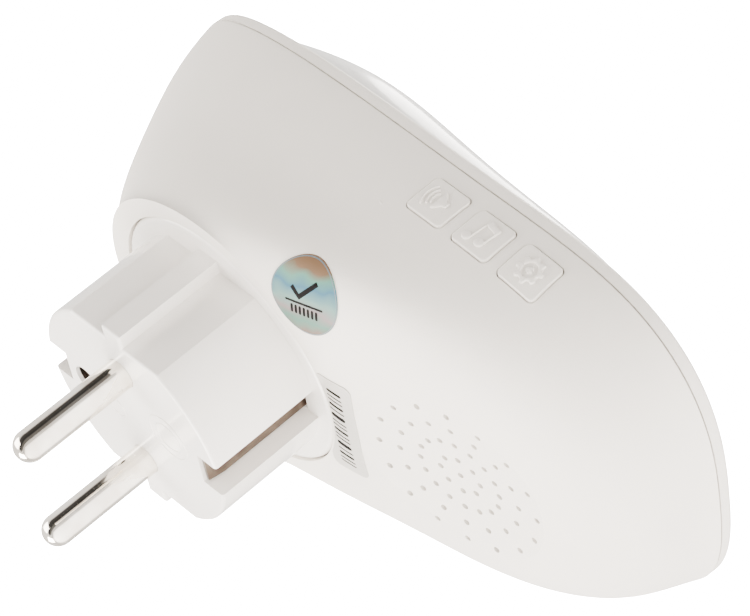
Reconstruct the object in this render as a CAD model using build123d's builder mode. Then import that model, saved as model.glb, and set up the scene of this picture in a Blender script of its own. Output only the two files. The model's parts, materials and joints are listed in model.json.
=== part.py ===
from build123d import *
from math import atan, cos, degrees, pi, radians, sin, sqrt
import os

# Plug-in pest repeller with a two-pin earthed plug on its back.
# Frame, in millimetres: the origin is the middle of the plug's front face, where the
# pins leave it; +Y runs along the pins towards the wall socket, +Z is up as plugged in.
# "Depth" is the distance behind the plug's face, so a depth of d lies at y = -d.

# ---------- driving dimensions ----------
# Plug
PLUG_RADIUS = 18.35
PLUG_FLAT = 15.9
PLUG_DEPTH = 18.2
LOBE_CORNER = 3.0
FACE_EDGE = 0.5
BASE_EDGE = 0.9
RIB_HALF_WIDTH = 1.9
BASE_RADIUS = 21.25
BASE_THICKNESS = 3.0
SOCKET_DEPTH = 17.0
PIN_RADIUS = 2.4
PIN_SPACING = 19.0
PIN_LENGTH = 19.0
EARTH_HOLE_RADIUS = 2.45
EARTH_HOLE_HEIGHT = 10.2
SLEEVE_START = 0.6
CLIP_WIDTH = 5.0
CLIP_THICKNESS = 0.6
CLIP_SLOT_FLOOR = 14.2
CLIP_RAMP = 3.1
CLIP_LIFT = 0.85
STRAP_DEPTH = 21.6
SHANK_RADIUS = 1.9
PIN_TAIL = 29.0

# Casing
WALL = 1.9
SEAM_DEPTH = 47.4
SEAM_SLOPE = 0.078
SEAM_GAP = 0.25
COVER_DEPTH = 2.3
EDGE_RADIUS = 0.8
LIP_INSET = 2.8
LIP_LENGTH = 1.0
LIP_THICKNESS = 0.8
BACK_RADIUS = 23.8
BACK_CENTRE = 1.2
TAPER = 0.17

# Speaker grille on the sloping lower back
GRILLE_TILT = 9.0
GRILLE_CENTRE = (0.0, -21.5, -42.7)
DISH_RADIUS = 15.3
DISH_DEPTH = 1.1
HOLE_RADIUS = 0.5
RING_PITCH = 3.33
ARMS = 16
SEAT_RADIUS = 18.0
SEAT_DEPTH = 3.0
SPEAKER_RADIUS = 14.2
SPEAKER_FLANGE = 2.2
SPEAKER_SCREWS = 16.6

# Buttons on the -X side wall
BUTTON_SIZE = 6.1
BUTTON_LENGTH = 7.1
SWITCH_SIZE = 6.0
FLANGE_OVERLAP = 0.8
BUTTON_CORNER = 0.8
BUTTON_GAP = 0.2
BUTTON_PITCH = 9.35
BUTTON_MIDDLE = (-38.8, -35.1)
BUTTON_LEAN = -0.076
BUTTON_PROUD = 0.3
CAP_EDGE = 0.2
FLANGE_FACE = -25.9
STEM_RADIUS = 1.5
SWITCH_FRONT = -24.1
SWITCH_HEIGHT = 3.4

# Dome that stands on the front cover: each row is one level cross-section, half an
# ellipse: (z, half width, rise above the cover)
DOME_SECTIONS = [
    (35.0, 12.5, 0.4),
    (28.0, 18.2, 2.0),
    (16.0, 21.6, 9.4),
    (2.0, 23.5, 11.9),
    (-18.0, 25.0, 9.9),
    (-42.0, 26.4, 7.8),
    (-62.0, 23.0, 2.0),
    (-68.0, 14.0, 0.4),
]
DOME_WALL = 1.8
DOME_PEGS = [(-22.5, 2.0), (22.5, 2.0), (-25.4, -42.0), (25.4, -42.0)]
PEG_RADIUS = 0.7
WINDOW_CENTRE = -10.0
WINDOW_SIZE = (18.0, 34.0)
PORT_RADIUS = 8.0

# Ledge inside the casing that the plug's base is screwed to
LEDGE_DEPTH = 21.3
LEDGE_THICKNESS = 3.0
LEDGE_BORE = 17.2
LEDGE_RADIUS = 22.6
SCREW_CIRCLE = 19.2

# Circuit board behind the plug
BOARD_DEPTH = 33.0
BOARD_THICKNESS = 1.6
BOARD_SIZE = (32.5, 41.5)
BOARD_CENTRE = -2.7
POST_SPOTS = [(-13.5, 15.0), (13.5, 15.0), (-13.8, -20.2), (13.8, -20.2)]

# Light board behind the window under the dome
LIGHT_BOARD_SETBACK = 3.3
LIGHT_BOARD_SPOTS = [(-15.5, 33.0), (15.5, 33.0), (-17.0, -36.0), (17.0, -36.0)]
LIGHT_COUNT = 8

# Labels on the rear housing
SKIN = 0.12
STICKER_RADIUS = 5.6
STICKER_CENTRE = (-21.4, -20.4, -18.7)
STICKER_FACING = (-0.37, 0.91, -0.17)
LABEL_SIZE = (19.8, 6.4)
LABEL_CENTRE = (1.1, -23.1)

# Each row shapes one cross-section of the casing, from the plug end to the seam:
# (fraction, depth of top, top z, depth of bottom, bottom z, half width, widest z)
SECTIONS = [
    (0.00, 18.2, BACK_CENTRE + BACK_RADIUS, 18.2, BACK_CENTRE - BACK_RADIUS, BACK_RADIUS, BACK_CENTRE),
    (0.15, 21.5, 27.2, 19.9, -33.5, 24.6, -6.1),
    (0.40, 31.1, 33.0, 22.2, -49.8, 26.3, -18.5),
    (0.60, 38.0, 36.1, 24.6, -58.8, 27.2, -27.9),
    (0.75, 43.8, 38.0, 29.3, -66.1, 28.5, -35.1),
    (0.90, 48.6, 38.7, 35.6, -69.8, 29.7, -41.4),
    (1.00, 50.42, 38.7, 41.76, -72.3, 30.1, -45.6),
]
OUTLINE_STEPS = 8


# ---------- shared shapes ----------
def back_plane(depth):
    """Plane parallel to the plug's face, seen from the pin side: local x = X, local y = Z."""
    return Plane.XZ.offset(depth)


def tilted_plane(depth, slope):
    """Plane y = -depth - slope * z, with its local x along X."""
    return Plane(origin=(0, -depth, 0), x_dir=(1, 0, 0), z_dir=(0, -1, -slope))


def outline_points(fraction, top, bottom, half_width, widest, stretch):
    """Pear outline: a tapering upper part over a rounder lower part."""
    taper = TAPER * fraction
    upper_power = 2 + 3.6 * fraction**2
    side_power = 2 + 1.8 * fraction
    lower_power = 2 + 0.43 * min(1, 5 * fraction) + 0.22 * fraction**2
    right = [(0, top)]
    # Two more points on the nearly flat crown, before the first regular one
    first_share = (1 - cos(pi / 2 / OUTLINE_STEPS) ** upper_power) ** (1 / side_power)
    for share in (first_share / 3, first_share * 2 / 3):
        u = (1 - share**side_power) ** (1 / upper_power)
        right.append((half_width * (1 - taper * u) * share, widest + (top - widest) * u))
    for step in range(1, OUTLINE_STEPS):
        u = sin(pi / 2 * (1 - step / OUTLINE_STEPS))
        x = half_width * (1 - taper * u) * (1 - u**upper_power) ** (1 / side_power)
        right.append((x, widest + (top - widest) * u))
    for step in range(OUTLINE_STEPS + 1):
        v = sin(pi / 2 * step / OUTLINE_STEPS)
        x = half_width * (1 - v**lower_power) ** (1 / lower_power)
        right.append((x, widest - (widest - bottom) * v))
    left = [(-x, z) for x, z in reversed(right[1:-1])]
    return [(x, z * stretch) for x, z in right + left]


def section_sketch(row, inset=0.0, push=0.0):
    """One closed cross-section of the casing, inset sideways and pushed towards the front."""
    fraction, top_depth, top, bottom_depth, bottom, half_width, widest = row
    slope = (top_depth - bottom_depth) / (top - bottom)
    depth = top_depth - slope * top + push
    edges = (top - inset, bottom + inset, half_width - inset, widest)
    with BuildSketch(tilted_plane(depth, slope)) as sketch:
        with BuildLine():
            Spline(*outline_points(fraction, *edges, sqrt(1 + slope**2)), periodic=True)
        make_face()
    return sketch.sketch


def casing_body(inset=0.0):
    """Solid inside the casing's outer surface, or inside that surface moved in by inset."""
    with BuildPart() as body:
        for row in SECTIONS:
            push = inset * (1 - row[0] ** 2)
            add(section_sketch(row, inset, push))
        loft()
    return body.part


def seam_slab(start, end, inset=0.0):
    """Slab with the seam's outline, from start to end in front of the seam plane."""
    with BuildPart() as slab:
        extrude(section_sketch(SECTIONS[-1], inset, start), amount=end - start)
    return slab.part


def save(builder, label):
    """Give a finished piece its name and write it."""
    builder.part.label = label
    export_step(builder.part, "parts/" + label + ".step")


os.makedirs("parts", exist_ok=True)
outer_body = casing_body()
inner_body = casing_body(WALL)
proud_body = casing_body(-BUTTON_PROUD)
skin_body = casing_body(-SKIN)

tilt = radians(GRILLE_TILT)
grille_plane = Plane(
    origin=GRILLE_CENTRE,
    x_dir=(1, 0, 0),
    z_dir=(0, -cos(tilt), sin(tilt)),
)
front_plane = tilted_plane(SEAM_DEPTH + COVER_DEPTH, SEAM_SLOPE)
window_spot = (0, WINDOW_CENTRE * sqrt(1 + SEAM_SLOPE**2))
window_plane = front_plane.shift_origin(front_plane.from_local_coords(window_spot))
button_spots = []
for place in (1, 0, -1):
    z = BUTTON_MIDDLE[1] + place * BUTTON_PITCH
    button_spots.append((BUTTON_MIDDLE[0] + BUTTON_LEAN * place * BUTTON_PITCH, z))
button_angle = -degrees(atan(BUTTON_LEAN))


# ---------- casing ----------
def button_block(size, length, corner, start, end):
    """Three rounded bars along X, one at each button; size is front to back, length is up and down."""
    with BuildPart() as block:
        with BuildSketch(Plane.YZ.offset(start)):
            with Locations(*[Location((y, z, 0), (0, 0, button_angle)) for y, z in button_spots]):
                RectangleRounded(size, length, corner)
        extrude(amount=end - start)
    return block.part


with BuildPart() as seat:
    with BuildSketch(grille_plane.offset(0.6)):
        Circle(SEAT_RADIUS)
    extrude(amount=SEAT_DEPTH - 0.6)
    with BuildSketch(grille_plane.offset(SEAT_DEPTH - 1)):
        with PolarLocations(SPEAKER_SCREWS, 3, start_angle=30):
            Circle(2.0)
    extrude(amount=SPEAKER_FLANGE + 1)
    add(outer_body, mode=Mode.INTERSECT)

with BuildPart() as rear_housing:
    add(outer_body)
    add(inner_body, mode=Mode.SUBTRACT)
    # Ledge and pocket for the plug's base
    with BuildSketch(back_plane(PLUG_DEPTH + 0.4)):
        Circle(LEDGE_RADIUS)
    extrude(amount=LEDGE_DEPTH + LEDGE_THICKNESS - PLUG_DEPTH - 0.4)
    with BuildSketch(back_plane(PLUG_DEPTH - 1)):
        Circle(BASE_RADIUS + 0.15)
    extrude(amount=LEDGE_DEPTH - PLUG_DEPTH + 1, mode=Mode.SUBTRACT)
    with BuildSketch(back_plane(LEDGE_DEPTH - 1)):
        Circle(LEDGE_BORE)
    extrude(amount=LEDGE_THICKNESS + 2, mode=Mode.SUBTRACT)
    with BuildSketch(back_plane(LEDGE_DEPTH - 1)):
        with PolarLocations(SCREW_CIRCLE, 4):
            Circle(1.35)
    extrude(amount=LEDGE_THICKNESS + 2, mode=Mode.SUBTRACT)
    # Posts for the circuit board
    with BuildSketch(back_plane(LEDGE_DEPTH + 0.5)):
        with Locations(*POST_SPOTS):
            Circle(2.3)
    extrude(amount=BOARD_DEPTH - LEDGE_DEPTH - 0.5)
    with BuildSketch(back_plane(BOARD_DEPTH - 6)):
        with Locations(*POST_SPOTS):
            Circle(1.15)
    extrude(amount=7, mode=Mode.SUBTRACT)
    # Speaker seat behind the dished grille, with three screw posts
    add(seat.part)
    with BuildSketch(grille_plane.offset(SEAT_DEPTH + SPEAKER_FLANGE)):
        with PolarLocations(SPEAKER_SCREWS, 3, start_angle=30):
            Circle(0.9)
    extrude(amount=-3, mode=Mode.SUBTRACT)
    dish_sphere = (DISH_RADIUS**2 + DISH_DEPTH**2) / (2 * DISH_DEPTH)
    with Locations(grille_plane.offset(DISH_DEPTH - dish_sphere)):
        Sphere(dish_sphere, mode=Mode.SUBTRACT)
    with BuildSketch(grille_plane.offset(-2)):
        Circle(HOLE_RADIUS)
        with PolarLocations(RING_PITCH, ARMS // 2):
            Circle(HOLE_RADIUS)
        for ring in (2, 3, 4):
            with PolarLocations(ring * RING_PITCH, ARMS):
                Circle(HOLE_RADIUS)
    extrude(amount=SEAT_DEPTH + 3, mode=Mode.SUBTRACT)
    # Openings for the buttons
    opening = (BUTTON_SIZE + 2 * BUTTON_GAP, BUTTON_LENGTH + 2 * BUTTON_GAP, BUTTON_CORNER + BUTTON_GAP)
    add(button_block(*opening, -36, -24), mode=Mode.SUBTRACT)
save(rear_housing, "rear_housing")

with BuildPart() as front_cover:
    add(seam_slab(SEAM_GAP, COVER_DEPTH))
    fillet(front_cover.faces().sort_by(Axis.Y)[0].edges(), EDGE_RADIUS)
    # Lip that reaches into the rear housing and hides the seam
    add(seam_slab(-LIP_LENGTH, SEAM_GAP, LIP_INSET))
    add(seam_slab(-LIP_LENGTH - 1, SEAM_GAP, LIP_INSET + LIP_THICKNESS), mode=Mode.SUBTRACT)
    # Window for the lights and the transducer, and holes for the dome's pegs
    with BuildSketch(window_plane.offset(-COVER_DEPTH - 1)):
        Ellipse(*WINDOW_SIZE)
    extrude(amount=COVER_DEPTH + 2, mode=Mode.SUBTRACT)
    with BuildSketch(front_plane):
        with Locations(*DOME_PEGS):
            Circle(PEG_RADIUS + 0.05)
    extrude(amount=-COVER_DEPTH, mode=Mode.SUBTRACT)
    # Posts for the light board
    with BuildSketch(window_plane.offset(-LIGHT_BOARD_SETBACK + 0.05)):
        with Locations(*LIGHT_BOARD_SPOTS):
            Circle(1.7)
    extrude(amount=LIGHT_BOARD_SETBACK - COVER_DEPTH / 2)
    with BuildSketch(window_plane.offset(-LIGHT_BOARD_SETBACK)):
        with Locations(*LIGHT_BOARD_SPOTS):
            Circle(0.8)
    extrude(amount=2.5, mode=Mode.SUBTRACT)
save(front_cover, "front_cover")


def dome_body(sections, inset):
    """Closed body through the dome's cross-sections, moved in by inset."""
    with BuildPart() as body:
        for z, half_width, rise in sections:
            base = (0, -SEAM_DEPTH - COVER_DEPTH - SEAM_SLOPE * z, z)
            with BuildSketch(Plane(origin=base)):
                Ellipse(half_width - inset, max(rise - inset, 0.4))
        loft()
    return body.part


with BuildPart() as light_dome:
    add(dome_body(DOME_SECTIONS, 0))
    split(bisect_by=front_plane)
    add(dome_body(DOME_SECTIONS[1:-1], DOME_WALL), mode=Mode.SUBTRACT)
    with BuildSketch(front_plane):
        with Locations(*DOME_PEGS):
            Circle(PEG_RADIUS)
    extrude(amount=0.1 - COVER_DEPTH + SEAM_GAP)
    # Slots in front of the ultrasonic transducer
    with BuildSketch(window_plane):
        for row in range(-2, 3):
            with Locations((0, 3 * row)):
                SlotOverall(2 * sqrt(PORT_RADIUS**2 - (3 * row) ** 2), 1.2)
    extrude(amount=15, mode=Mode.SUBTRACT)
save(light_dome, "light_dome")


# ---------- plug ----------
with BuildPart() as plug_body:
    with BuildSketch(back_plane(0)):
        Circle(PLUG_RADIUS)
        lobes = Rectangle(2 * PLUG_FLAT, 4 * PLUG_RADIUS, mode=Mode.INTERSECT)
        fillet(lobes.vertices(), LOBE_CORNER)
        Rectangle(2 * sqrt(PLUG_RADIUS**2 - RIB_HALF_WIDTH**2), 2 * RIB_HALF_WIDTH)
    extrude(amount=PLUG_DEPTH + 0.5)
    fillet(plug_body.faces().sort_by(Axis.Y)[-1].edges(), FACE_EDGE)
    with BuildSketch(back_plane(PLUG_DEPTH)):
        Circle(BASE_RADIUS)
    extrude(amount=BASE_THICKNESS)
    rim = plug_body.edges().filter_by(GeomType.CIRCLE).filter_by(lambda edge: edge.radius > BASE_RADIUS - 0.1)
    fillet(rim.sort_by(Axis.Y)[-1], BASE_EDGE)
    # Slots for the earth contacts, top and bottom
    with BuildSketch(back_plane(-1)):
        with Locations((0, CLIP_SLOT_FLOOR + 5), (0, -CLIP_SLOT_FLOOR - 5)):
            Rectangle(CLIP_WIDTH + 0.8, 10)
    extrude(amount=PLUG_DEPTH + 1, mode=Mode.SUBTRACT)
    with BuildSketch(back_plane(PLUG_DEPTH - 1)):
        with Locations((0, CLIP_SLOT_FLOOR + 0.9), (0, -CLIP_SLOT_FLOOR - 0.9)):
            Rectangle(CLIP_WIDTH + 0.4, 1.8)
    extrude(amount=BASE_THICKNESS + 2, mode=Mode.SUBTRACT)
    # Hole for the socket's earth pin, with its sleeve's bore further in
    with BuildSketch(back_plane(-1)):
        with Locations((0, EARTH_HOLE_HEIGHT)):
            Circle(EARTH_HOLE_RADIUS)
    extrude(amount=SOCKET_DEPTH + 1, mode=Mode.SUBTRACT)
    with BuildSketch(back_plane(SLEEVE_START)):
        with Locations((0, EARTH_HOLE_HEIGHT)):
            Circle(EARTH_HOLE_RADIUS + 0.75)
    extrude(amount=PLUG_DEPTH + BASE_THICKNESS, mode=Mode.SUBTRACT)
    # Bores for the pins' shanks
    with BuildSketch(back_plane(-1)):
        with GridLocations(PIN_SPACING, 1, 2, 1):
            Circle(SHANK_RADIUS + 0.05)
    extrude(amount=PLUG_DEPTH + BASE_THICKNESS + 2, mode=Mode.SUBTRACT)
    with BuildSketch(back_plane(0)):
        with GridLocations(PIN_SPACING, 1, 2, 1):
            Circle(PIN_RADIUS + 0.05)
    extrude(amount=PIN_RADIUS - SHANK_RADIUS, taper=45, mode=Mode.SUBTRACT)
    with BuildSketch(back_plane(PLUG_DEPTH + 1)):
        with PolarLocations(SCREW_CIRCLE, 4):
            Circle(1.25)
    extrude(amount=BASE_THICKNESS, mode=Mode.SUBTRACT)
save(plug_body, "plug_body")

for side, label in ((-1, "pin_left"), (1, "pin_right")):
    with BuildPart() as pin:
        with BuildSketch(Plane.XY):
            with BuildLine():
                Polyline(
                    (0, -PIN_TAIL),
                    (SHANK_RADIUS, -PIN_TAIL),
                    (SHANK_RADIUS, 0),
                    (PIN_RADIUS, 0),
                    (PIN_RADIUS, PIN_LENGTH - PIN_RADIUS),
                )
                RadiusArc((PIN_RADIUS, PIN_LENGTH - PIN_RADIUS), (0, PIN_LENGTH), -PIN_RADIUS)
                Line((0, PIN_LENGTH), (0, -PIN_TAIL))
            make_face()
        revolve(axis=Axis.Y)
    pin.part.position = (side * PIN_SPACING / 2, 0, 0)
    save(pin, label)

with BuildPart() as earth_strap:
    # Side view of one sprung contact, mirrored below, and the bar that joins them
    with BuildSketch(Plane.YZ.offset(-CLIP_WIDTH / 2)):
        with BuildLine() as side_view:
            Polyline(
                (-0.5, CLIP_SLOT_FLOOR + CLIP_THICKNESS / 2 + 0.1),
                (-CLIP_RAMP, CLIP_SLOT_FLOOR + CLIP_LIFT),
                (-STRAP_DEPTH, CLIP_SLOT_FLOOR + CLIP_LIFT),
                (-STRAP_DEPTH, 0),
            )
        trace(line_width=CLIP_THICKNESS)
        mirror(about=Plane.XZ)
    extrude(amount=CLIP_WIDTH)
save(earth_strap, "earth_strap")

with BuildPart() as earth_sleeve:
    with BuildSketch(back_plane(SLEEVE_START + 0.05)):
        with Locations((0, EARTH_HOLE_HEIGHT)):
            Circle(EARTH_HOLE_RADIUS + 0.7)
            Circle(EARTH_HOLE_RADIUS, mode=Mode.SUBTRACT)
    extrude(amount=STRAP_DEPTH - CLIP_THICKNESS / 2 - SLEEVE_START - 0.1)
    with BuildSketch(back_plane(SOCKET_DEPTH)):
        with Locations((0, EARTH_HOLE_HEIGHT)):
            Circle(EARTH_HOLE_RADIUS + 0.2)
    extrude(amount=0.8)
save(earth_sleeve, "earth_sleeve")

with BuildPart() as pin_carrier:
    with BuildSketch(back_plane(STRAP_DEPTH + CLIP_THICKNESS / 2 + 0.05)):
        Circle(LEDGE_BORE - 0.2)
    extrude(amount=LEDGE_DEPTH + LEDGE_THICKNESS - STRAP_DEPTH - CLIP_THICKNESS / 2)
    with BuildSketch(back_plane(LEDGE_DEPTH + LEDGE_THICKNESS + 0.05)):
        Circle(LEDGE_RADIUS - 1.4)
    extrude(amount=1.8)
    with BuildSketch(back_plane(STRAP_DEPTH)):
        with Locations(*POST_SPOTS):
            Circle(2.7)
    extrude(amount=8, mode=Mode.SUBTRACT)
    with BuildSketch(back_plane(STRAP_DEPTH)):
        with GridLocations(PIN_SPACING, 1, 2, 1):
            Circle(SHANK_RADIUS + 0.05)
    extrude(amount=8, mode=Mode.SUBTRACT)
    with BuildSketch(back_plane(STRAP_DEPTH)):
        with PolarLocations(SCREW_CIRCLE, 4):
            Circle(1.35)
    extrude(amount=8, mode=Mode.SUBTRACT)
save(pin_carrier, "pin_carrier")


def screw_set(plane, spots, shank_radius, shank_length, head_radius, head_height):
    """Pan-head screws whose heads sit on the plane's front side."""
    with BuildPart() as screws:
        with BuildSketch(plane):
            with Locations(*spots):
                Circle(head_radius)
        extrude(amount=head_height)
        with BuildSketch(plane):
            with Locations(*spots):
                Circle(shank_radius)
        extrude(amount=-shank_length)
        with BuildSketch(plane.offset(head_height)):
            with Locations(*spots):
                Rectangle(1.5 * head_radius, 0.4)
                Rectangle(0.4, 1.5 * head_radius)
        extrude(amount=-head_height / 2, mode=Mode.SUBTRACT)
    return screws


def ring_spots(half_width, half_height, count, start):
    """Places spread round an ellipse, starting at an angle in degrees."""
    turns = [radians(start + 360 * i / count) for i in range(count)]
    return [(half_width * cos(turn), half_height * sin(turn)) for turn in turns]


plug_screw_plane = back_plane(LEDGE_DEPTH + LEDGE_THICKNESS + 1.9)
plug_screws = screw_set(plug_screw_plane, ring_spots(SCREW_CIRCLE, SCREW_CIRCLE, 4, 0), 1.15, 6.5, 2.3, 1.4)
save(plug_screws, "plug_screws")


# ---------- circuit board ----------
board_front = BOARD_DEPTH + BOARD_THICKNESS

with BuildPart() as main_board:
    with BuildSketch(back_plane(BOARD_DEPTH + 0.05)):
        with Locations((0, BOARD_CENTRE)):
            RectangleRounded(*BOARD_SIZE, 1.5)
        with Locations(*POST_SPOTS):
            Circle(1.35, mode=Mode.SUBTRACT)
    extrude(amount=BOARD_THICKNESS - 0.1)
save(main_board, "main_board")

board_screws = screw_set(back_plane(board_front), POST_SPOTS, 1.1, 5.0, 2.2, 1.3)
save(board_screws, "board_screws")

with BuildPart() as transformer:
    with BuildSketch(back_plane(board_front)):
        with Locations((6, 5.5)):
            RectangleRounded(15, 13, 0.8)
    extrude(amount=2.0)
    with BuildSketch(back_plane(board_front + 2)):
        with Locations((6, 5.5)):
            RectangleRounded(9, 11, 2)
    extrude(amount=5.5)
    with BuildSketch(back_plane(board_front + 7.5)):
        with Locations((6, 5.5)):
            RectangleRounded(15, 13, 0.8)
    extrude(amount=2.0)
    with BuildSketch(back_plane(board_front + 2)):
        with Locations((-0.75, 5.5), (12.75, 5.5)):
            Rectangle(1.5, 12)
    extrude(amount=5.5)
save(transformer, "transformer")

with BuildPart() as filter_capacitors:
    with BuildSketch(back_plane(board_front)):
        with Locations((-7, 9), (-7, -1.5)):
            Circle(4.0)
    extrude(amount=7.5)
    fillet(filter_capacitors.faces().group_by(Axis.Y)[0].edges(), 0.6)
save(filter_capacitors, "filter_capacitors")

with BuildPart() as mains_fuse:
    with BuildSketch(Plane.YZ.offset(2)):
        with Locations((-board_front - 2.6, -3.5)):
            Circle(2.4)
    extrude(amount=12)
save(mains_fuse, "mains_fuse")

with BuildPart() as controller_chip:
    with BuildSketch(back_plane(board_front)):
        with Locations((5, -13)):
            Rectangle(9.9, 4)
    extrude(amount=1.6)
    with BuildSketch(back_plane(board_front)):
        with Locations((5, -13)):
            with GridLocations(1.27, 5.4, 8, 2):
                Rectangle(0.45, 1.6)
    extrude(amount=0.5)
save(controller_chip, "controller_chip")


# ---------- buttons ----------
with BuildPart() as button_board:
    with BuildSketch(Plane.YZ.offset(SWITCH_FRONT + SWITCH_HEIGHT)):
        with Locations((BUTTON_MIDDLE[0] + 0.9, BUTTON_MIDDLE[1])):
            RectangleRounded(SWITCH_SIZE, 3 * BUTTON_PITCH, 1)
    extrude(amount=1.0)
save(button_board, "button_board")

with BuildPart() as tactile_switches:
    add(button_block(SWITCH_SIZE, SWITCH_SIZE, 0.3, SWITCH_FRONT, SWITCH_FRONT + SWITCH_HEIGHT))
    with BuildSketch(Plane.YZ.offset(SWITCH_FRONT)):
        with Locations(*button_spots):
            Circle(STEM_RADIUS + 0.3)
    extrude(amount=2.2, mode=Mode.SUBTRACT)
save(tactile_switches, "tactile_switches")

button_names = ("volume_button", "melody_button", "settings_button")
caps = button_block(BUTTON_SIZE, BUTTON_LENGTH, BUTTON_CORNER, -36, FLANGE_FACE) & proud_body
for spot, cap, label in zip(button_spots, caps.solids().sort_by(Axis.Z, reverse=True), button_names):
    with BuildPart() as button:
        add(cap)
        fillet(button.faces().sort_by(Axis.X)[0].edges(), CAP_EDGE)
        with BuildSketch(Plane.YZ.offset(FLANGE_FACE)):
            with Locations(Location((*spot, 0), (0, 0, button_angle))):
                RectangleRounded(BUTTON_SIZE + 2 * FLANGE_OVERLAP, BUTTON_LENGTH + 2 * FLANGE_OVERLAP, 1)
        extrude(amount=0.7)
        with BuildSketch(Plane.YZ.offset(FLANGE_FACE)):
            with Locations(spot):
                Circle(STEM_RADIUS)
        extrude(amount=SWITCH_FRONT - FLANGE_FACE + 0.4)
    save(button, label)


# ---------- speaker ----------
with BuildPart() as speaker_frame:
    with BuildSketch(Plane.XZ):
        with BuildLine():
            Polyline(
                (12.6, 0),
                (SPEAKER_RADIUS, 0),
                (SPEAKER_RADIUS, SPEAKER_FLANGE - 0.05),
                (12.4, SPEAKER_FLANGE - 0.05),
                (7.6, 5.2),
                (6.8, 5.2),
                (6.8, 4.5),
                (12.6, 0.8),
                close=True,
            )
        make_face()
    revolve(axis=Axis.Z)
speaker_frame.part.location = grille_plane.offset(SEAT_DEPTH + 0.05).location
save(speaker_frame, "speaker_frame")

with BuildPart() as speaker_magnet:
    with BuildSketch(Plane.XY.offset(5.25)):
        Circle(8.6)
    extrude(amount=1.0)
    with BuildSketch(Plane.XY.offset(6.25)):
        Circle(7.8)
    extrude(amount=3.2)
    chamfer(speaker_magnet.faces().sort_by(Axis.Z)[-1].edges(), 0.5)
speaker_magnet.part.location = grille_plane.offset(SEAT_DEPTH + 0.05).location
save(speaker_magnet, "speaker_magnet")

with BuildPart() as speaker_cone:
    with BuildSketch(Plane.XZ):
        with BuildLine():
            Polyline((12.3, 0.2), (12.3, 0.6), (11.4, 1.0), (4.0, 4.1), (0, 4.1))
            Line((0, 4.1), (0, 1.6))
            ThreePointArc((0, 1.6), (2.2, 2.1), (4.0, 3.5))
            Polyline((4.0, 3.5), (11.0, 0.6), (12.3, 0.2))
        make_face()
    revolve(axis=Axis.Z)
speaker_cone.part.location = grille_plane.offset(SEAT_DEPTH + 0.05).location
save(speaker_cone, "speaker_cone")

speaker_screw_plane = grille_plane.offset(SEAT_DEPTH + SPEAKER_FLANGE)
speaker_spots = ring_spots(SPEAKER_SCREWS, SPEAKER_SCREWS, 3, 30)
speaker_screws = screw_set(speaker_screw_plane, speaker_spots, 0.85, 2.8, 2.9, 1.1)
save(speaker_screws, "speaker_screws")


# ---------- ultrasonic transducer and lights behind the dome ----------
board_back = -LIGHT_BOARD_SETBACK - 1.4

with BuildPart() as transducer_case:
    with BuildSketch(window_plane.offset(board_back - 1.0)):
        Circle(7.8)
    extrude(amount=10.6)
    with BuildSketch(window_plane.offset(board_back + 1.0)):
        Circle(7.0)
    extrude(amount=10, mode=Mode.SUBTRACT)
save(transducer_case, "transducer_case")

with BuildPart() as transducer_cone:
    with BuildSketch(Plane.XZ):
        with BuildLine():
            Polyline((0, 0), (3.0, 0), (3.0, 1.2), (6.2, 5.6), (5.7, 5.6), (2.4, 1.5), (0, 1.5), close=True)
        make_face()
    revolve(axis=Axis.Z)
transducer_cone.part.location = window_plane.offset(board_back + 1.05).location
save(transducer_cone, "transducer_cone")

with BuildPart() as transducer_holder:
    with BuildSketch(window_plane.offset(-LIGHT_BOARD_SETBACK + 0.05)):
        Circle(9.6)
        Circle(7.9, mode=Mode.SUBTRACT)
    extrude(amount=2.6)
save(transducer_holder, "transducer_holder")

with BuildPart() as light_board:
    with BuildSketch(window_plane.offset(board_back)):
        with Locations(*LIGHT_BOARD_SPOTS):
            Circle(2.0)
        make_hull()
        Circle(7.9, mode=Mode.SUBTRACT)
        with Locations(*LIGHT_BOARD_SPOTS):
            Circle(0.95, mode=Mode.SUBTRACT)
    extrude(amount=1.4)
save(light_board, "light_board")

with BuildPart() as light_emitters:
    emitter_spots = ring_spots(14.5, 26, LIGHT_COUNT, 22.5)
    with BuildSketch(window_plane.offset(-LIGHT_BOARD_SETBACK + 0.05)):
        with Locations(*emitter_spots):
            RectangleRounded(5, 5, 0.4)
    extrude(amount=1.6)
    with Locations(window_plane.offset(-LIGHT_BOARD_SETBACK + 1.65)):
        with Locations(*emitter_spots):
            Sphere(1.8, arc_size1=0)
save(light_emitters, "light_emitters")

screw_seat = window_plane.offset(board_back - 0.05)
light_screw_plane = Plane(origin=screw_seat.origin, x_dir=screw_seat.x_dir, z_dir=-screw_seat.z_dir)
light_screw_spots = [(x, -z) for x, z in LIGHT_BOARD_SPOTS]
light_screws = screw_set(light_screw_plane, light_screw_spots, 0.75, 3.4, 1.6, 0.9)
save(light_screws, "light_screws")

with BuildPart() as mains_leads:
    with BuildSketch(back_plane(PIN_TAIL + 0.05)):
        with GridLocations(PIN_SPACING, 1, 2, 1):
            Circle(1.2)
    extrude(amount=BOARD_DEPTH - PIN_TAIL - 0.05)
save(mains_leads, "mains_leads")


# ---------- labels ----------
sticker_plane = Plane(origin=STICKER_CENTRE, z_dir=STICKER_FACING)
with BuildPart() as inspection_sticker:
    with BuildSketch(sticker_plane.offset(-6)):
        Circle(STICKER_RADIUS)
    extrude(amount=12)
    add(skin_body, mode=Mode.INTERSECT)
    add(outer_body, mode=Mode.SUBTRACT)
save(inspection_sticker, "inspection_sticker")

with BuildPart() as serial_label:
    with BuildSketch(back_plane(10)):
        with Locations(LABEL_CENTRE):
            RectangleRounded(*LABEL_SIZE, 1.2)
        Circle(BASE_RADIUS + 0.5, mode=Mode.SUBTRACT)
    extrude(amount=14)
    add(skin_body, mode=Mode.INTERSECT)
    add(outer_body, mode=Mode.SUBTRACT)
save(serial_label, "serial_label")
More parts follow.
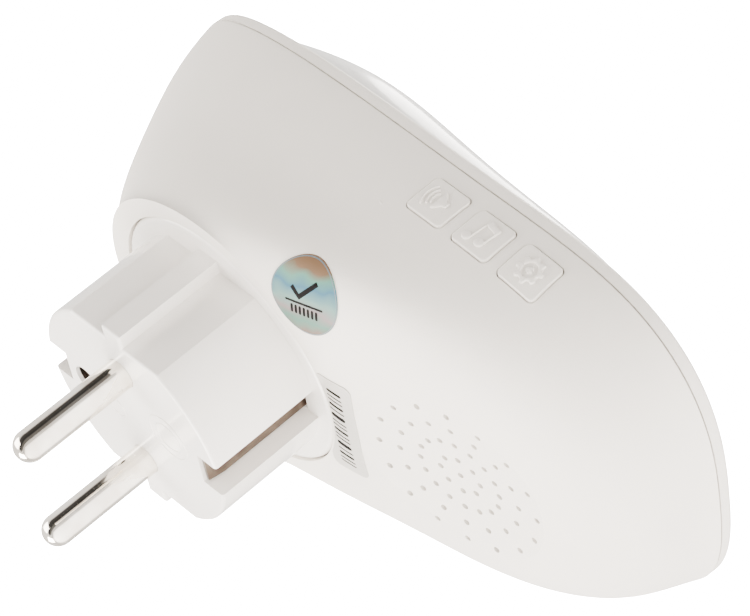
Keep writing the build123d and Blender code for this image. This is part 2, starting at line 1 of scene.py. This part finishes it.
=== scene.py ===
import json
from math import cos, pi, radians, sin

import bmesh
import bpy
from mathutils import Matrix, Vector
from mathutils.bvhtree import BVHTree


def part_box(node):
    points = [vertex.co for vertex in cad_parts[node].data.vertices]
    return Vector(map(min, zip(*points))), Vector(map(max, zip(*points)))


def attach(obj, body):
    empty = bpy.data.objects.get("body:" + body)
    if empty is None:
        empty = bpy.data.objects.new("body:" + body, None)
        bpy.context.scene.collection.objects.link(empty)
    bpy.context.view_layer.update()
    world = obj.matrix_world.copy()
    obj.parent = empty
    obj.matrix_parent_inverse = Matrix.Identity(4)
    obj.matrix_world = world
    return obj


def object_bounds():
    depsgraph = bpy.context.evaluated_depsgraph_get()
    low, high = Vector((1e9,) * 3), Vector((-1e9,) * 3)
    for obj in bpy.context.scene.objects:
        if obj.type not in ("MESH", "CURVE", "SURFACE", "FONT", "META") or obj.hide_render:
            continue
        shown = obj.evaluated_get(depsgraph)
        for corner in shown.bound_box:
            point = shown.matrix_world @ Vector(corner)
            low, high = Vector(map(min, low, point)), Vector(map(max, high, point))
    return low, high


MM = 0.001

# Camera, fitted to the plug and the casing: focal length in mm, place in metres, picture's axes
CAMERA_LENS = 155.76
CAMERA_PLACE = (-0.34448, 0.14118, -0.26230)
CAMERA_RIGHT = (0.12993, -0.71683, -0.68504)
CAMERA_UP = (-0.65229, -0.58213, 0.48543)

# Across the pins as the camera sees them, and from the pins towards it, both square to the pins
SIDE_OF_PINS = (-0.588, 0.0, 0.809)
FRONT_OF_PINS = (-0.809, 0.0, -0.588)
# Brightness of the room round the pins' direction, by degrees from the camera's side
SURROUND = (
    (-180, 0.8), (-95, 0.7), (-80, 0.85), (-40, 1.0), (5, 1.0), (13, 0.12),
    (45, 0.09), (52, 0.02), (82, 0.04), (94, 0.75), (150, 0.85),
)
SURROUND_STRENGTH = 2.6
BACKDROP_STRENGTH = 40.0
WARM_LIGHT = (1.0, 0.955, 0.9)

# Soft boxes that face the casing: name, place from its middle along the picture's right, its up and
# towards the camera in metres, width and height in metres, and watts
SOFT_BOXES = (
    ("key", (0.55, -0.5, 0.5), (0.5, 0.5), 8.0),
    ("front", (-0.5, -0.7, 0.0), (0.45, 0.45), 19.0),
    ("left", (-0.8, 0.1, 0.05), (0.5, 0.7), 14.0),
    ("rim", (0.3, 0.5, -0.5), (0.5, 0.4), 9.0),
)
# Soft box that lies on the floor and shines up
FLOOR_BOX_OFFSET = (-0.1, 0.4)
FLOOR_BOX_LIFT = 0.02
FLOOR_BOX_SIZE = (1.3, 1.3)
FLOOR_BOX_WATTS = 15.5

FLOOR_DROP = 0.35
FLOOR_HALF_WIDTH = 3.0

# How the round sticker lies, along its print and across it, and half the reach of its colours,
# which are partly the foil's own iridescence and partly painted reflection
STICKER_RIGHT = (-0.081, -0.215, -0.973)
STICKER_UP = (-0.925, -0.347, 0.153)
STICKER_HALF_HEIGHT = 0.0062

# A drawing board's distance from the surface, and how far it looks for it, in metres
BOARD_DISTANCE = 0.02
BOARD_REACH = 0.06

# Profile of a raised shape's side: share of its edge width, and share of its height
EDGE_PROFILE = ((0.0, -0.3), (0.25, 0.55), (0.6, 0.9), (1.0, 1.0))

# Heights over the surface, in millimetres
ICON_HEIGHT = 0.26
INK_HEIGHT = 0.03
RIM_HEIGHT = 0.02
GATE_MARK_HEIGHT = 0.05
EJECTOR_RING_HEIGHT = 0.02
PLUG_RING_HEIGHT = 0.1

# The buttons' direction down the casing, which is the icons' right, and their up
ICON_RIGHT = (0, 0.076, -1)
ICON_UP = (0, -1, -0.076)

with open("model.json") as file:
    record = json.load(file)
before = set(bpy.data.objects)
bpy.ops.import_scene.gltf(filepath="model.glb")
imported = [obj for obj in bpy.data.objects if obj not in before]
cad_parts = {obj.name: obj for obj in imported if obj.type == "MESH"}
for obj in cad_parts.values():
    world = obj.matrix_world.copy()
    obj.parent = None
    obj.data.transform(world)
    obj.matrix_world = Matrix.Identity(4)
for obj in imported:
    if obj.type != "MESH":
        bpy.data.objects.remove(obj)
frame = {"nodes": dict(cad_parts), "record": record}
cad_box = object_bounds()
nodes = frame["nodes"]


# ---------- camera ----------
def make_camera():
    """Looks at the plug end from below and from the buttons' side."""
    data = bpy.data.cameras.new("camera")
    data.sensor_width = 36
    data.lens = CAMERA_LENS
    data.clip_start = 0.02
    camera = bpy.data.objects.new("camera", data)
    bpy.context.collection.objects.link(camera)
    right, up = Vector(CAMERA_RIGHT), Vector(CAMERA_UP)
    axes = Matrix((right, up, right.cross(up))).transposed()
    camera.matrix_world = Matrix.Translation(CAMERA_PLACE) @ axes.to_4x4()
    bpy.context.scene.camera = camera
    return camera


# ---------- light ----------
def soft_light(name, spot, target, size, watts):
    """Soft box at spot that faces target and that the camera doesn't see."""
    data = bpy.data.lights.new(name, "AREA")
    data.shape = "RECTANGLE"
    data.size, data.size_y = size
    data.energy = watts
    data.color = WARM_LIGHT
    light = bpy.data.objects.new(name, data)
    light.location = spot
    light.rotation_euler = (Vector(target) - Vector(spot)).to_track_quat("-Z", "Y").to_euler()
    light.visible_camera = False
    bpy.context.collection.objects.link(light)


def set_stops(ramp, stops):
    """Gives a colour ramp its stops of (position, colour)."""
    elements = ramp.color_ramp.elements
    while len(elements) < len(stops):
        elements.new(0.5)
    for element, (position, colour) in zip(elements, stops):
        element.position = position
        element.color = (*colour, 1)


def surround_shader(tree):
    """White room with a dark gap above and left of the camera, which the pins mirror as a line."""
    direction = tree.nodes.new("ShaderNodeTexCoord").outputs["Generated"]
    parts = []
    for axis in (SIDE_OF_PINS, FRONT_OF_PINS):
        dot = tree.nodes.new("ShaderNodeVectorMath")
        dot.operation = "DOT_PRODUCT"
        dot.inputs[1].default_value = axis
        tree.links.new(direction, dot.inputs[0])
        parts.append(dot.outputs["Value"])
    angle = tree.nodes.new("ShaderNodeMath")
    angle.operation = "ARCTAN2"
    tree.links.new(parts[0], angle.inputs[0])
    tree.links.new(parts[1], angle.inputs[1])
    turn = tree.nodes.new("ShaderNodeMapRange")
    turn.inputs["From Min"].default_value = -pi
    turn.inputs["From Max"].default_value = pi
    tree.links.new(angle.outputs["Value"], turn.inputs["Value"])
    ramp = tree.nodes.new("ShaderNodeValToRGB")
    stops = []
    for degrees_round, level in SURROUND:
        stops.append(((degrees_round + 180) / 360, [level * channel for channel in WARM_LIGHT]))
    set_stops(ramp, stops)
    tree.links.new(turn.outputs["Result"], ramp.inputs["Fac"])
    background = tree.nodes.new("ShaderNodeBackground")
    background.inputs["Strength"].default_value = SURROUND_STRENGTH
    tree.links.new(ramp.outputs["Color"], background.inputs["Color"])
    return background.outputs["Background"]


def make_world():
    """White behind the object, and the shaded room for everything but the camera."""
    world = bpy.data.worlds.new("world")
    bpy.context.scene.world = world
    world.use_nodes = True
    tree = world.node_tree
    tree.nodes.remove(tree.nodes["Background"])
    backdrop = tree.nodes.new("ShaderNodeBackground")
    backdrop.inputs["Color"].default_value = (1, 1, 1, 1)
    backdrop.inputs["Strength"].default_value = BACKDROP_STRENGTH
    rays = tree.nodes.new("ShaderNodeLightPath")
    mix = tree.nodes.new("ShaderNodeMixShader")
    tree.links.new(rays.outputs["Is Camera Ray"], mix.inputs["Fac"])
    tree.links.new(surround_shader(tree), mix.inputs[1])
    tree.links.new(backdrop.outputs["Background"], mix.inputs[2])
    tree.links.new(mix.outputs["Shader"], tree.nodes["World Output"].inputs["Surface"])


def make_studio(camera, middle):
    """Soft boxes round the camera, a white surround and a pale floor."""
    floor_height = cad_box[0][2] - FLOOR_DROP
    across, along = FLOOR_BOX_OFFSET
    below = Vector((middle.x + across, middle.y + along, floor_height + FLOOR_BOX_LIFT))
    soft_light("below", below, (below.x, below.y, 1.0), FLOOR_BOX_SIZE, FLOOR_BOX_WATTS)
    view = camera.matrix_world.to_3x3()
    for name, place, size, watts in SOFT_BOXES:
        soft_light(name, middle + view @ Vector(place), middle, size, watts)
    make_world()

    mesh = bpy.data.meshes.new("floor")
    half = FLOOR_HALF_WIDTH
    sides = ((-half, -half), (half, -half), (half, half), (-half, half))
    mesh.from_pydata([(x, y, floor_height) for x, y in sides], [], [(0, 1, 2, 3)])
    floor = bpy.data.objects.new("floor", mesh)
    bpy.context.collection.objects.link(floor)
    paint = plastic("floor_paint", (0.86, 0.86, 0.86), 0.7, (60, 0.0002), mottle=0.01)
    mesh.materials.append(paint)


# ---------- materials ----------
class Shader:
    """A node material with a principled shader and object-space texture helpers."""

    def __init__(self, name, **sockets):
        self.material = bpy.data.materials.new(name)
        self.material.use_nodes = True
        self.tree = self.material.node_tree
        self.surface = self.tree.nodes["Principled BSDF"]
        self.coordinates = self.node("ShaderNodeTexCoord").outputs["Object"]
        for socket, value in sockets.items():
            self.surface.inputs[socket.replace("_", " ")].default_value = value

    def node(self, kind, **settings):
        made = self.tree.nodes.new(kind)
        for setting, value in settings.items():
            setattr(made, setting, value)
        return made

    def link(self, source, target):
        self.tree.links.new(source, target)

    def colour(self, source):
        self.link(source, self.surface.inputs["Base Color"])

    def roughness(self, source, low, high):
        """Roughness that follows a value of 0 to 1 from low to high."""
        span = self.node("ShaderNodeMapRange")
        span.inputs["To Min"].default_value = low
        span.inputs["To Max"].default_value = high
        self.link(source, span.inputs["Value"])
        self.link(span.outputs["Result"], self.surface.inputs["Roughness"])

    def noise(self, scale, detail, stretch=(1, 1, 1)):
        """Noise with the given number of features per metre, stretched along the axes."""
        place = self.node("ShaderNodeMapping")
        place.inputs["Scale"].default_value = stretch
        texture = self.node("ShaderNodeTexNoise")
        texture.inputs["Scale"].default_value = scale
        texture.inputs["Detail"].default_value = detail
        self.link(self.coordinates, place.inputs["Vector"])
        self.link(place.outputs["Vector"], texture.inputs["Vector"])
        return texture.outputs["Fac"]

    def ramp(self, source, *stops):
        """Colour ramp with stops of (position, colour)."""
        ramp = self.node("ShaderNodeValToRGB")
        set_stops(ramp, stops)
        self.link(source, ramp.inputs["Fac"])
        return ramp.outputs["Color"]

    def bumps(self, *layers):
        """Chains bump layers of (height source, depth in metres)."""
        normal = None
        for height, depth in layers:
            bump = self.node("ShaderNodeBump")
            bump.inputs["Distance"].default_value = depth
            self.link(height, bump.inputs["Height"])
            if normal is not None:
                self.link(normal, bump.inputs["Normal"])
            normal = bump.outputs["Normal"]
        self.link(normal, self.surface.inputs["Normal"])


def shaded(colour, amount):
    return tuple(max(0.0, min(1.0, channel * amount)) for channel in colour)


def plastic(name, colour, roughness, grain, mottle=0.012, waves=None, **sockets):
    """Moulded plastic: mottling, and grain and sink waves, each as (per metre, depth)."""
    shader = Shader(name, **sockets)
    pale, dark = shaded(colour, 1 + mottle), shaded(colour, 1 - mottle)
    shader.colour(shader.ramp(shader.noise(90, 2), (0.3, dark), (0.7, pale)))
    fine = shader.noise(grain[0], 4)
    shader.roughness(fine, roughness - 0.04, roughness + 0.04)
    layers = [(fine, grain[1])]
    if waves:
        layers.append((shader.noise(waves[0], 1), waves[1]))
    shader.bumps(*layers)
    return shader.material


def metal(name, colour, roughness, scratches, tarnish=None, brushed=(1, 1, 1)):
    """Bare or plated metal with fine scratches, as (per metre, depth), drawn out along one axis."""
    shader = Shader(name, Metallic=1.0)
    dull = tarnish or shaded(colour, 0.86)
    shader.colour(shader.ramp(shader.noise(220, 4), (0.35, dull), (0.6, colour)))
    lines = shader.noise(scratches[0], 3, brushed)
    shader.roughness(lines, roughness * 0.7, roughness * 1.4)
    shader.bumps((lines, scratches[1]))
    return shader.material


def board(name):
    """Solder mask over faint copper tracks."""
    shader = Shader(name)
    tracks = shader.node("ShaderNodeTexBrick")
    tracks.inputs["Scale"].default_value = 260
    tracks.inputs["Mortar Size"].default_value = 0.012
    tracks.inputs["Color1"].default_value = (0.018, 0.12, 0.05, 1)
    tracks.inputs["Color2"].default_value = (0.022, 0.14, 0.06, 1)
    tracks.inputs["Mortar"].default_value = (0.05, 0.22, 0.09, 1)
    shader.link(shader.coordinates, tracks.inputs["Vector"])
    shader.colour(tracks.outputs["Color"])
    weave = shader.noise(2500, 2)
    shader.roughness(weave, 0.3, 0.42)
    shader.bumps((tracks.outputs["Fac"], 0.00003), (weave, 0.000008))
    return shader.material


def foil(name):
    """Holographic foil: pastel bands across a silvery base, with fine ruling. The bands are partly
    the foil's own iridescence and partly painted reflection: the rainbow it throws back from one
    side, fixed as colour.
    """
    shader = Shader(name, Coat_Weight=0.15, Coat_Roughness=0.2, Specular_IOR_Level=0.25)
    height = shader.node("ShaderNodeVectorMath", operation="DOT_PRODUCT")
    height.inputs[1].default_value = STICKER_UP
    shader.link(shader.coordinates, height.inputs[0])
    middle = Vector(STICKER_UP).dot(middle_of("inspection_sticker"))
    place = shader.node("ShaderNodeMapRange")
    place.inputs["From Min"].default_value = middle - STICKER_HALF_HEIGHT
    place.inputs["From Max"].default_value = middle + STICKER_HALF_HEIGHT
    shader.link(height.outputs["Value"], place.inputs["Value"])
    sway = shader.node("ShaderNodeMath", operation="MULTIPLY_ADD")
    sway.inputs[1].default_value = 0.3
    shader.link(shader.noise(260, 1), sway.inputs[0])
    shader.link(place.outputs["Result"], sway.inputs[2])
    # Painted reflection: the foil's rainbow as it shines from one side, laid across the sticker as
    # fixed colour
    painted_rainbow = shader.ramp(
        sway.outputs["Value"],
        (0.14, (0.058, 0.114, 0.099)),
        (0.26, (0.145, 0.102, 0.081)),
        (0.38, (0.073, 0.169, 0.130)),
        (0.5, (0.193, 0.156, 0.155)),
        (0.63, (0.126, 0.229, 0.205)),
        (0.76, (0.034, 0.120, 0.180)),
        (0.9, (0.073, 0.205, 0.155)),
        (1.0, (0.145, 0.084, 0.043)),
    )
    shader.colour(painted_rainbow)
    ruling = shader.node("ShaderNodeTexWave", bands_direction="X")
    ruling.inputs["Scale"].default_value = 2600
    shader.link(shader.coordinates, ruling.inputs["Vector"])
    shader.roughness(ruling.outputs["Fac"], 0.4, 0.52)
    shader.bumps((ruling.outputs["Fac"], 0.000004))
    return shader.material


def tape(name):
    """Yellow winding tape with its overlapping turns."""
    shader = Shader(name, Coat_Weight=0.3)
    turns = shader.node("ShaderNodeTexWave", bands_direction="Y")
    turns.inputs["Scale"].default_value = 180
    turns.inputs["Distortion"].default_value = 0.6
    shader.link(shader.coordinates, turns.inputs["Vector"])
    layer = turns.outputs["Fac"]
    shader.colour(shader.ramp(layer, (0.2, (0.62, 0.40, 0.04)), (0.8, (0.78, 0.55, 0.08))))
    shader.roughness(layer, 0.3, 0.45)
    shader.bumps((layer, 0.00008))
    return shader.material


def make_materials():
    """One finished material for each of the record's slots, and two for the prints."""
    warm_white = (0.79, 0.75, 0.695)
    plug_white = (0.84, 0.806, 0.765)
    sink_waves = (45, 0.0003)
    satin = dict(Specular_IOR_Level=0.35)
    gloss = dict(Coat_Weight=0.5, Coat_Roughness=0.08, Specular_IOR_Level=0.5)
    return {
        "casing": plastic(
            "casing_white", warm_white, 0.52, (3400, 0.000022), waves=sink_waves, **satin
        ),
        "cover": plastic(
            "cover_white", shaded(warm_white, 1.01), 0.5, (3400, 0.00002), waves=sink_waves, **satin
        ),
        "button": plastic(
            "button_white", shaded(warm_white, 1.005), 0.48, (3600, 0.000018), **satin
        ),
        "dome": plastic(
            "dome_gloss", (0.86, 0.86, 0.855), 0.16, (700, 0.000006), mottle=0.006,
            Subsurface_Weight=0.12, Subsurface_Radius=(0.004, 0.004, 0.004), **gloss
        ),
        "plug": plastic(
            "plug_gloss", plug_white, 0.2, (900, 0.000008), mottle=0.006,
            waves=(60, 0.00012), **gloss
        ),
        "pin_metal": metal(
            "nickel_plate", (0.88, 0.84, 0.77), 0.09, (900, 0.000006),
            tarnish=(0.68, 0.62, 0.54), brushed=(1, 0.04, 1)
        ),
        "contact_metal": metal(
            "contact_brass", (0.20, 0.155, 0.12), 0.3, (1200, 0.00001),
            tarnish=(0.12, 0.09, 0.07), brushed=(1, 0.05, 1)
        ),
        "carrier": plastic("carrier_plastic", (0.62, 0.61, 0.58), 0.5, (2200, 0.00002)),
        "screw": metal(
            "zinc_plate", (0.62, 0.63, 0.64), 0.3, (1800, 0.00001), tarnish=(0.50, 0.49, 0.46)
        ),
        "circuit_board": board("solder_mask"),
        "component": plastic(
            "component_black", (0.028, 0.028, 0.03), 0.42, (2600, 0.000016), mottle=0.1
        ),
        "winding": tape("winding_tape"),
        "lead": plastic("lead_red", (0.45, 0.03, 0.02), 0.4, (1500, 0.00001), mottle=0.05),
        "speaker_metal": metal("pressed_steel", (0.20, 0.20, 0.21), 0.45, (1400, 0.00002)),
        "magnet": metal(
            "plated_yoke", (0.30, 0.30, 0.31), 0.5, (1000, 0.00003), tarnish=(0.12, 0.12, 0.12)
        ),
        "cone": plastic("cone_film", (0.05, 0.05, 0.052), 0.55, (1800, 0.00005), mottle=0.15),
        "transducer_metal": metal(
            "drawn_aluminium", (0.80, 0.80, 0.81), 0.28, (1500, 0.00001), brushed=(1, 1, 0.1)
        ),
        "light": plastic(
            "lens_epoxy", (0.86, 0.84, 0.66), 0.12, (500, 0.000004), mottle=0.02,
            Transmission_Weight=0.5, IOR=1.5
        ),
        "sticker": foil("holographic_foil"),
        "sticker_rim": plastic("foil_rim", (0.12, 0.15, 0.17), 0.35, (1500, 0.000004), mottle=0.03),
        "label": plastic(
            "label_film", (0.52, 0.495, 0.46), 0.3, (1500, 0.000006), mottle=0.006, Coat_Weight=0.35
        ),
        "ink": plastic(
            "black_ink", (0.004, 0.0035, 0.0035), 0.75, (3000, 0.000004), mottle=0.2,
            Specular_IOR_Level=0.1
        ),
    }


def dress_nodes(materials):
    """Gives every carried-over CAD node the finish of its slot."""
    for entry in frame["record"]["subparts"]:
        for place in nodes[entry["node"]].material_slots:
            place.material = materials[entry["material_slot"]]


# ---------- raised shapes that follow a CAD surface ----------
def middle_of(node):
    low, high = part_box(node)
    return (low + high) / 2


def surface_of(node):
    """Search tree over a CAD node's mesh."""
    mesh = nodes[node].data
    mesh.calc_loop_triangles()
    corners = [vertex.co.copy() for vertex in mesh.vertices]
    return BVHTree.FromPolygons(corners, [tuple(face.vertices) for face in mesh.loop_triangles])


class Placement:
    """A flat drawing board in front of a CAD surface, with u and v in millimetres."""

    def __init__(self, node, right, up, centre=None):
        self.tree = surface_of(node)
        self.right = Vector(right).normalized()
        self.normal = self.right.cross(Vector(up)).normalized()
        self.up = self.normal.cross(self.right)
        self.centre = Vector(centre) if centre else self.middle(node)

    def middle(self, node):
        """The middle of the node as seen square to the board."""
        corners = [vertex.co for vertex in nodes[node].data.vertices]
        place = self.normal * self.normal.dot(middle_of(node))
        for axis in (self.right, self.up):
            reach = [axis.dot(corner) for corner in corners]
            place += axis * (min(reach) + max(reach)) / 2
        return place

    def point(self, flat):
        """The place on the surface under (u, v), lifted by the third coordinate."""
        over = self.centre + (self.right * flat.x + self.up * flat.y) * MM
        start = over + self.normal * BOARD_DISTANCE
        hit = self.tree.ray_cast(start, -self.normal, BOARD_REACH)[0]
        if hit is None:
            raise ValueError("a drawn point misses its surface")
        return hit + self.normal * flat.z * MM


def inward(outline, amount):
    """The closed outline moved in by amount, corner by corner."""
    moved = []
    for index, (u, v) in enumerate(outline):
        before, after = outline[index - 1], outline[(index + 1) % len(outline)]
        along = Vector((after[0] - before[0], after[1] - before[1])).normalized()
        moved.append((u - along.y * amount, v + along.x * amount))
    return moved


def add_relief(shape_mesh, shape, height, edge):
    """Adds one flat-topped shape with sloped sides. A shape is an outline that runs anticlockwise,
    or a pair of outlines with equal counts, outer and inner, for a band."""

    def ring(outline, lift):
        return [shape_mesh.verts.new((u, v, lift)) for u, v in outline]

    def wall(lower, upper):
        for index, corner in enumerate(lower):
            after = (index + 1) % len(lower)
            shape_mesh.faces.new((corner, lower[after], upper[after], upper[index]))

    outer, inner = shape if isinstance(shape, tuple) else (shape, None)
    rings = [ring(inward(outer, edge * part), height * lift) for part, lift in EDGE_PROFILE]
    if inner:
        for part, lift in EDGE_PROFILE[::-1]:
            rings.append(ring(inward(inner, -edge * part), height * lift))
    else:
        shape_mesh.faces.new(rings[-1])
    for lower, upper in zip(rings, rings[1:]):
        wall(lower, upper)


def cut_grid(shape_mesh, pitch):
    """Cuts every face along a square grid, so that it can bend with the surface."""
    reach = max(max(abs(vert.co.x), abs(vert.co.y)) for vert in shape_mesh.verts)
    steps = int(reach / pitch) + 1
    for axis in (Vector((1, 0, 0)), Vector((0, 1, 0))):
        for step in range(-steps, steps + 1):
            everything = shape_mesh.verts[:] + shape_mesh.edges[:] + shape_mesh.faces[:]
            line = axis * pitch * step
            bmesh.ops.bisect_plane(shape_mesh, geom=everything, plane_co=line, plane_no=axis)


def raised(name, placement, shapes, height, material, body, edge, pitch=0.6):
    """One piece made of raised shapes that follow the surface; all sizes in millimetres."""
    shape_mesh = bmesh.new()
    for shape in shapes:
        add_relief(shape_mesh, shape, height, edge)
    cut_grid(shape_mesh, pitch)
    bmesh.ops.triangulate(shape_mesh, faces=shape_mesh.faces[:])
    for vert in shape_mesh.verts:
        vert.co = placement.point(vert.co)
    mesh = bpy.data.meshes.new(name)
    shape_mesh.to_mesh(mesh)
    shape_mesh.free()
    mesh.materials.append(material)
    mesh.polygons.foreach_set("use_smooth", [True] * len(mesh.polygons))
    piece = bpy.data.objects.new(name, mesh)
    bpy.context.collection.objects.link(piece)
    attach(piece, body)


# ---------- outlines, in millimetres ----------
def ellipse(centre, radius_u, radius_v, count=24):
    turns = [2 * pi * index / count for index in range(count)]
    return [(centre[0] + radius_u * cos(turn), centre[1] + radius_v * sin(turn)) for turn in turns]


def circle(centre, radius, count=40):
    return ellipse(centre, radius, radius, count)


def ring_band(centre, outer_radius, inner_radius, count=40):
    return circle(centre, outer_radius, count), circle(centre, inner_radius, count)


def arc_band(centre, radius, width, first, last):
    """A curved stroke with rounded ends, between two angles in degrees."""
    side_count, cap_count = 14, 5
    half = width / 2

    def polar(middle, reach, turn):
        return middle[0] + reach * cos(turn), middle[1] + reach * sin(turn)

    angles = [first + (last - first) * index / side_count for index in range(side_count + 1)]
    turns = [radians(angle) for angle in angles]
    outer = [polar(centre, radius + half, turn) for turn in turns]
    inner = [polar(centre, radius - half, turn) for turn in turns]
    caps = []
    for turn, begin in ((turns[-1], turns[-1]), (turns[0], turns[0] + pi)):
        middle = polar(centre, radius, turn)
        bends = [begin + pi * index / cap_count for index in range(1, cap_count)]
        caps.append([polar(middle, half, bend) for bend in bends])
    return outer + caps[0] + inner[::-1] + caps[1]


def rounded_bar(centre, length, width, angle=0.0, round_count=5):
    """A straight stroke with rounded ends, turned by an angle in degrees."""
    bend = radians(angle)
    points = []
    for side, reach in ((0, (length - width) / 2), (1, -(length - width) / 2)):
        for index in range(round_count + 1):
            turn = -pi / 2 + pi * index / round_count + pi * side
            u, v = reach + width / 2 * cos(turn), width / 2 * sin(turn)
            across = centre[0] + u * cos(bend) - v * sin(bend)
            points.append((across, centre[1] + u * sin(bend) + v * cos(bend)))
    return points


def speaker_icon():
    """Three sound waves beside a horn."""
    focus = (0.3, 0.15)
    waves = [arc_band(focus, radius, 0.34, 143, 220) for radius in (1.35, 2.05, 2.8)]
    horn = [
        (1.75, -0.35), (1.75, 0.55), (1.2, 0.6), (0.15, 1.75),
        (-0.2, 1.75), (-0.2, -1.4), (0.15, -1.4), (1.2, -0.4),
    ]
    return waves + [horn]


def notes_icon():
    """Two beamed notes."""
    stems = [
        (-1.25, -1.5), (-0.95, -1.5), (-0.62, 1.25), (1.3, 0.85),
        (1.1, -1.3), (1.4, -1.3), (1.78, 1.7), (-0.8, 2.3),
    ]
    heads = [ellipse(centre, 0.85, 0.72) for centre in ((-1.75, -1.5), (0.6, -1.3))]
    return heads + [stems]


def gear_icon():
    """A gear with eight flat-topped teeth round a hub."""
    count, teeth, clip = 96, 8, 0.6
    middle_radius, tooth_depth, bore_radius = 1.95, 0.24, 1.12
    outer, inner = [], []
    for index in range(count):
        turn = 2 * pi * index / count
        tooth = max(-clip, min(clip, sin(teeth * turn))) / clip
        radius = middle_radius + tooth_depth * tooth
        outer.append((radius * cos(turn), radius * sin(turn)))
        inner.append((bore_radius * cos(turn), bore_radius * sin(turn)))
    return [(outer, inner), circle((0, 0), 0.62, 24)]


# ---------- raised pieces ----------
def add_button_icons(materials):
    """Each icon reads with the device's front as its top, so u runs down the casing."""
    icons = (("volume", speaker_icon), ("melody", notes_icon), ("settings", gear_icon))
    for purpose, icon in icons:
        button = purpose + "_button"
        placement = Placement(button, ICON_RIGHT, ICON_UP)
        raised(purpose + "_icon", placement, icon(), ICON_HEIGHT, materials["button"],
               button, edge=0.15, pitch=0.8)


def add_sticker_print(materials):
    """A plain tick over a line and a row of bars, and a fine rim round the foil."""
    placement = Placement("inspection_sticker", STICKER_RIGHT, STICKER_UP)
    tick = [(-2.35, 1.05), (-0.8, -0.45), (2.2, 2.4), (1.75, 2.9), (-0.85, 0.45), (-1.9, 1.55)]
    line = rounded_bar((0, -0.95), 6.4, 0.34)
    bars = [rounded_bar((-2.1 + 0.7 * index, -2.1), 1.4, 0.42, 90) for index in range(7)]
    raised("sticker_mark", placement, [tick, line] + bars, INK_HEIGHT, materials["ink"],
           "casing", edge=0.02, pitch=0.4)
    raised("sticker_rim", placement, [ring_band((0, 0), 5.54, 5.4, 72)], RIM_HEIGHT,
           materials["sticker_rim"], "casing", edge=0.03, pitch=0.5)


def add_label_print(materials):
    """Plain tally bars along the label."""
    low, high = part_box("serial_label")
    placement = Placement("serial_label", (-1, 0, 0), (0, 0, 1))
    pattern = (1, 1, 2, 1, 3, 1, 1, 2, 1, 1, 3, 1, 2, 1, 1, 2)
    printed_share, bar_length, bar_share, bar_angle = 0.84, 2.7, 0.65, 84
    length = (high.x - low.x) / MM * printed_share
    pitch = length / (sum(pattern) + len(pattern))
    bars, place = [], -length / 2
    for units in pattern:
        width = units * pitch
        centre = (place + width / 2, 0)
        bars.append(rounded_bar(centre, bar_length, width * bar_share, bar_angle, round_count=3))
        place += width + pitch
    raised("label_bars", placement, bars, INK_HEIGHT, materials["ink"], "casing",
           edge=0.015, pitch=0.4)


def add_moulding_marks(materials):
    """Small gate marks and ejector rings on the casing, and plain rings on the plug's face."""
    low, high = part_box("rear_housing")
    size = high - low
    for number, (y, z) in enumerate(((0.34, 0.736), (0.47, 0.483))):
        centre = (low.x, low.y + y * size.y, low.z + z * size.z)
        placement = Placement("rear_housing", (0, -1, 0), (0, 0, 1), centre)
        raised("gate_mark_%d" % number, placement, [rounded_bar((0, 0), 0.9, 0.3, 70)],
               GATE_MARK_HEIGHT, materials["casing"], "casing", edge=0.06)
    for number, (x, z) in enumerate(((0.58, 0.13), (0.20, 0.40))):
        centre = (low.x + x * size.x, high.y, low.z + z * size.z)
        placement = Placement("rear_housing", (-1, 0, 0), (0, 0, 1), centre)
        raised("ejector_ring_%d" % number, placement, [ring_band((0, 0), 1.15, 1.0)],
               EJECTOR_RING_HEIGHT, materials["casing"], "casing", edge=0.04)
    face = Placement("plug_body", (-1, 0, 0), (0, 0, 1), (0, 0, 0))
    rings = []
    for centre, radius in (((1.6, -7.8), 4.0), ((1.6, -7.8), 2.6), ((-0.8, 3.7), 1.8)):
        rings.append(ring_band(centre, radius, radius - 0.3, 48))
    raised("plug_face_rings", face, rings, PLUG_RING_HEIGHT, materials["plug"], "casing",
           edge=0.08, pitch=2.0)


camera = make_camera()
materials = make_materials()
dress_nodes(materials)
make_studio(camera, middle_of("rear_housing"))
add_button_icons(materials)
add_sticker_print(materials)
add_label_print(materials)
add_moulding_marks(materials)
